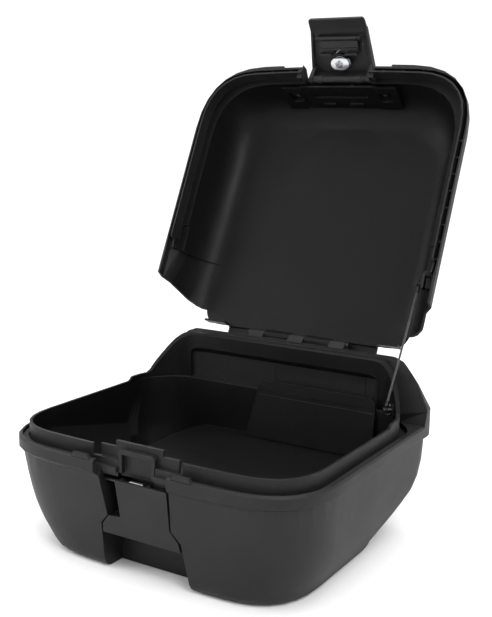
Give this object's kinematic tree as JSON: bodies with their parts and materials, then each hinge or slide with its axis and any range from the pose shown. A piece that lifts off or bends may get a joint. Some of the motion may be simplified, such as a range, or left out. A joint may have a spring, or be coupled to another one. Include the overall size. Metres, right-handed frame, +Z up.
{
  "type": "hard motorcycle saddlebag",
  "caption": "Hard black motorcycle side case lying on its mounting side, lid open on a stay cord, with a locking latch flap and a lift-out handle panel.",
  "frame": {"origin": "under the middle of the whole part with its lid open, on the flat face the case lies on", "axes": "+X to the right seen from the latch side, +Y from the latch towards the lid hinge, +Z up"},
  "size_m": [0.408, 0.5028, 0.6358],
  "materials": {
    "case_plastic": "fine-grained moulded black",
    "inner_plastic": "satin black",
    "seal_rubber": "matt",
    "cord": "braided cord with moulded ends",
    "steel": "bright zinc plated",
    "zinc": "cast zinc, bright"
  },
  "bodies": {
    "case": {"base_shell": "case_plastic", "rim_seal": "seal_rubber", "striker": "case_plastic", "handle_pin": "steel", "handle_spring": "steel", "pocket_panel": "inner_plastic", "mount_plate": "steel", "mount_screws": "steel", "hinge_pin": "steel", "hinge_caps": "inner_plastic", "stay_cord": "cord", "cord_anchor": "inner_plastic", "anchor_screws": "steel"},
    "handle": {"release_handle": "case_plastic"},
    "lid": {"lid_shell": "case_plastic", "latch_housing": "inner_plastic", "housing_screws": "steel", "cord_hook": "inner_plastic", "hook_screws": "steel", "flap_pin": "steel", "flap_spring": "steel"},
    "flap": {"latch_flap": "case_plastic", "claw_pin": "steel", "claw_spring": "steel", "lock_sleeve": "inner_plastic"},
    "claw": {"latch_claw": "case_plastic"},
    "lock": {"lock_plug": "zinc", "lock_cam": "zinc", "cam_screw": "steel"}
  },
  "joints": [
    {"name": "lid_hinge", "type": "hinge", "parent": "case", "child": "lid", "pos_m": [0, 0.1155, 0.212], "axis": [1, 0, 0], "range_deg": [0, 115], "deforming": ["stay_cord"]},
    {"name": "flap_hinge", "type": "hinge", "parent": "lid", "child": "flap", "pos_m": [0, 0.21617, 0.55565], "axis": [1, 0, 0], "range_deg": [-30, 43], "deforming": ["flap_spring"]},
    {"name": "claw_pivot", "type": "hinge", "parent": "flap", "child": "claw", "pos_m": [0, 0.2079, 0.60948], "axis": [1, 0, 0], "range_deg": [-8, 7], "deforming": ["claw_spring"]},
    {"name": "lock_turn", "type": "hinge", "parent": "flap", "child": "lock", "pos_m": [0, 0.21795, 0.57794], "axis": [0, -0.9272, -0.3746], "range_deg": [0, 90]},
    {"name": "handle_hinge", "type": "hinge", "parent": "case", "child": "handle", "pos_m": [0, -0.2325, 0.1135], "axis": [-1, 0, 0], "range_deg": [0, 18], "stiffness_Nm_per_rad": 0.12, "springref_deg": -22.92, "deforming": ["handle_spring"]}
  ],
  "couplings": [
    {"joint": "claw_pivot", "follows": "flap_hinge", "ratio": 0.16}
  ]
}
